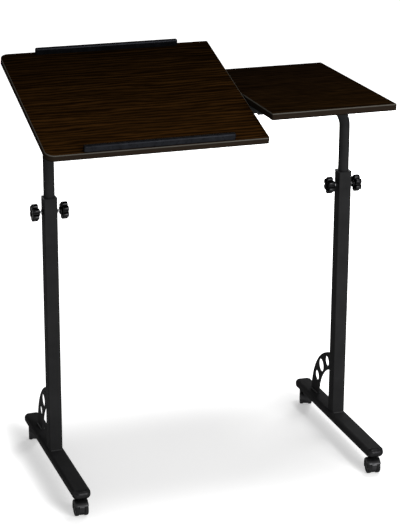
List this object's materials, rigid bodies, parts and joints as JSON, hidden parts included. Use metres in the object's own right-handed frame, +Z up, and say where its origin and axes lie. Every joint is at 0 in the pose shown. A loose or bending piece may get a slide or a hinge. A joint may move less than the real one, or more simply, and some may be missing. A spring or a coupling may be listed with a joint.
{
  "type": "rolling laptop desk",
  "caption": "Height-adjustable rolling laptop desk: a tilting top with retainer bars and a level side top on a round tube frame, clamped in square columns on feet with twin-wheel castors.",
  "frame": {"origin": "centre of the bounding box's underside, on the floor under the middle of the desk", "axes": "X across the desk to the side top's end, Y from the user's side to the back, Z up"},
  "size_m": [0.8, 0.512, 0.9543],
  "materials": {
    "laminate": "semi-gloss dark walnut laminate on particle board",
    "edging": "satin grey-brown plastic edge band",
    "painted_steel": "satin black powder coat",
    "bare_steel": "zinc plated steel",
    "knob_plastic": "semi-gloss black moulded plastic",
    "bar_plastic": "satin blue-black moulded plastic",
    "wheel_plastic": "matt black hard nylon",
    "castor_plastic": "satin black moulded nylon",
    "fitting_plastic": "matt black moulded plastic"
  },
  "bodies": {
    "left_leg": {"left_column": "painted_steel", "left_foot": "painted_steel", "left_foot_caps": "fitting_plastic", "left_gusset": "painted_steel", "left_collar": "fitting_plastic", "left_castor_stems": "bare_steel"},
    "upper_frame": {"left_tube": "painted_steel", "right_tube": "painted_steel", "tube_glides": "fitting_plastic", "crossbar_sleeve": "painted_steel", "crossbar_bolts": "bare_steel", "side_board": "laminate", "side_edging": "edging", "side_mounts": "fitting_plastic", "side_screws": "bare_steel"},
    "main_top": {"main_board": "laminate", "main_edging": "edging", "front_bar": "bar_plastic", "rear_bar": "bar_plastic", "bar_screws": "bare_steel", "tilt_brackets": "fitting_plastic", "tilt_caps": "fitting_plastic", "bracket_screws": "bare_steel", "cap_bolts": "bare_steel"},
    "right_leg": {"right_column": "painted_steel", "right_foot": "painted_steel", "right_foot_caps": "fitting_plastic", "right_gusset": "painted_steel", "right_collar": "fitting_plastic", "right_castor_stems": "bare_steel"},
    "left_tilt_knob": {"left_tilt_knob": "knob_plastic", "left_tilt_screw": "bare_steel"},
    "right_tilt_knob": {"right_tilt_knob": "knob_plastic", "right_tilt_screw": "bare_steel"},
    "left_outer_knob": {"left_outer_knob": "knob_plastic", "left_outer_screw": "bare_steel"},
    "left_inner_knob": {"left_inner_knob": "knob_plastic", "left_inner_screw": "bare_steel"},
    "left_front_castor": {"left_front_hood": "castor_plastic", "left_front_axle": "bare_steel"},
    "left_front_outer_wheel": {"left_front_outer_wheel": "wheel_plastic"},
    "left_front_inner_wheel": {"left_front_inner_wheel": "wheel_plastic"},
    "left_rear_castor": {"left_rear_hood": "castor_plastic", "left_rear_axle": "bare_steel"},
    "left_rear_outer_wheel": {"left_rear_outer_wheel": "wheel_plastic"},
    "left_rear_inner_wheel": {"left_rear_inner_wheel": "wheel_plastic"},
    "right_outer_knob": {"right_outer_knob": "knob_plastic", "right_outer_screw": "bare_steel"},
    "right_inner_knob": {"right_inner_knob": "knob_plastic", "right_inner_screw": "bare_steel"},
    "right_front_castor": {"right_front_hood": "castor_plastic", "right_front_axle": "bare_steel"},
    "right_front_outer_wheel": {"right_front_outer_wheel": "wheel_plastic"},
    "right_front_inner_wheel": {"right_front_inner_wheel": "wheel_plastic"},
    "right_rear_castor": {"right_rear_hood": "castor_plastic", "right_rear_axle": "bare_steel"},
    "right_rear_outer_wheel": {"right_rear_outer_wheel": "wheel_plastic"},
    "right_rear_inner_wheel": {"right_rear_inner_wheel": "wheel_plastic"}
  },
  "joints": [
    {"name": "height_slide", "type": "slide", "parent": "left_leg", "child": "upper_frame", "axis": [0, 0, 1], "range_m": [-0.1, 0.215]},
    {"name": "right_height_slide", "type": "slide", "parent": "upper_frame", "child": "right_leg", "axis": [0, 0, 1], "range_m": [-0.215, 0.1]},
    {"name": "top_tilt", "type": "hinge", "parent": "upper_frame", "child": "main_top", "pos_m": [0, -0.01, 0.8355], "axis": [1, 0, 0], "range_deg": [-17, 18]},
    {"name": "left_tilt_knob_turn", "type": "hinge", "parent": "main_top", "child": "left_tilt_knob", "pos_m": [-0.252, -0.02519, 0.80994], "axis": [0, 0.2924, -0.9563], "range_deg": [0, 360]},
    {"name": "right_tilt_knob_turn", "type": "hinge", "parent": "main_top", "child": "right_tilt_knob", "pos_m": [0.055, -0.02519, 0.80994], "axis": [0, 0.2924, -0.9563], "range_deg": [0, 360]},
    {"name": "left_outer_knob_turn", "type": "hinge", "parent": "left_leg", "child": "left_outer_knob", "pos_m": [-0.352, -0.01, 0.637], "axis": [-1, 0, 0], "range_deg": [0, 360]},
    {"name": "left_inner_knob_turn", "type": "hinge", "parent": "left_leg", "child": "left_inner_knob", "pos_m": [-0.352, -0.01, 0.637], "axis": [1, 0, 0], "range_deg": [0, 360]},
    {"name": "left_front_swivel", "type": "hinge", "parent": "left_leg", "child": "left_front_castor", "pos_m": [-0.352, -0.225, 0.035], "axis": [0, 0, 1], "continuous": true},
    {"name": "left_front_outer_wheel_spin", "type": "hinge", "parent": "left_front_castor", "child": "left_front_outer_wheel", "pos_m": [-0.35258, -0.23599, 0.0175], "axis": [0.9986, -0.0523, 0], "continuous": true},
    {"name": "left_front_inner_wheel_spin", "type": "hinge", "parent": "left_front_castor", "child": "left_front_inner_wheel", "pos_m": [-0.35258, -0.23599, 0.0175], "axis": [0.9986, -0.0523, 0], "continuous": true},
    {"name": "left_rear_swivel", "type": "hinge", "parent": "left_leg", "child": "left_rear_castor", "pos_m": [-0.352, 0.183, 0.035], "axis": [0, 0, 1], "continuous": true},
    {"name": "left_rear_outer_wheel_spin", "type": "hinge", "parent": "left_rear_castor", "child": "left_rear_outer_wheel", "pos_m": [-0.34953, 0.19372, 0.0175], "axis": [0.9744, -0.225, 0], "continuous": true},
    {"name": "left_rear_inner_wheel_spin", "type": "hinge", "parent": "left_rear_castor", "child": "left_rear_inner_wheel", "pos_m": [-0.34953, 0.19372, 0.0175], "axis": [0.9744, -0.225, 0], "continuous": true},
    {"name": "right_outer_knob_turn", "type": "hinge", "parent": "right_leg", "child": "right_outer_knob", "pos_m": [0.352, -0.01, 0.637], "axis": [1, 0, 0], "range_deg": [0, 360]},
    {"name": "right_inner_knob_turn", "type": "hinge", "parent": "right_leg", "child": "right_inner_knob", "pos_m": [0.352, -0.01, 0.637], "axis": [-1, 0, 0], "range_deg": [0, 360]},
    {"name": "right_front_swivel", "type": "hinge", "parent": "right_leg", "child": "right_front_castor", "pos_m": [0.352, -0.225, 0.035], "axis": [0, 0, 1], "continuous": true},
    {"name": "right_front_outer_wheel_spin", "type": "hinge", "parent": "right_front_castor", "child": "right_front_outer_wheel", "pos_m": [0.35066, -0.23592, 0.0175], "axis": [0.9925, -0.1219, 0], "continuous": true},
    {"name": "right_front_inner_wheel_spin", "type": "hinge", "parent": "right_front_castor", "child": "right_front_inner_wheel", "pos_m": [0.35066, -0.23592, 0.0175], "axis": [0.9925, -0.1219, 0], "continuous": true},
    {"name": "right_rear_swivel", "type": "hinge", "parent": "right_leg", "child": "right_rear_castor", "pos_m": [0.352, 0.183, 0.035], "axis": [0, 0, 1], "continuous": true},
    {"name": "right_rear_outer_wheel_spin", "type": "hinge", "parent": "right_rear_castor", "child": "right_rear_outer_wheel", "pos_m": [0.35576, 0.19334, 0.0175], "axis": [0.9397, -0.342, 0], "continuous": true},
    {"name": "right_rear_inner_wheel_spin", "type": "hinge", "parent": "right_rear_castor", "child": "right_rear_inner_wheel", "pos_m": [0.35576, 0.19334, 0.0175], "axis": [0.9397, -0.342, 0], "continuous": true}
  ],
  "couplings": [
    {"joint": "right_height_slide", "follows": "height_slide", "ratio": -1}
  ]
}
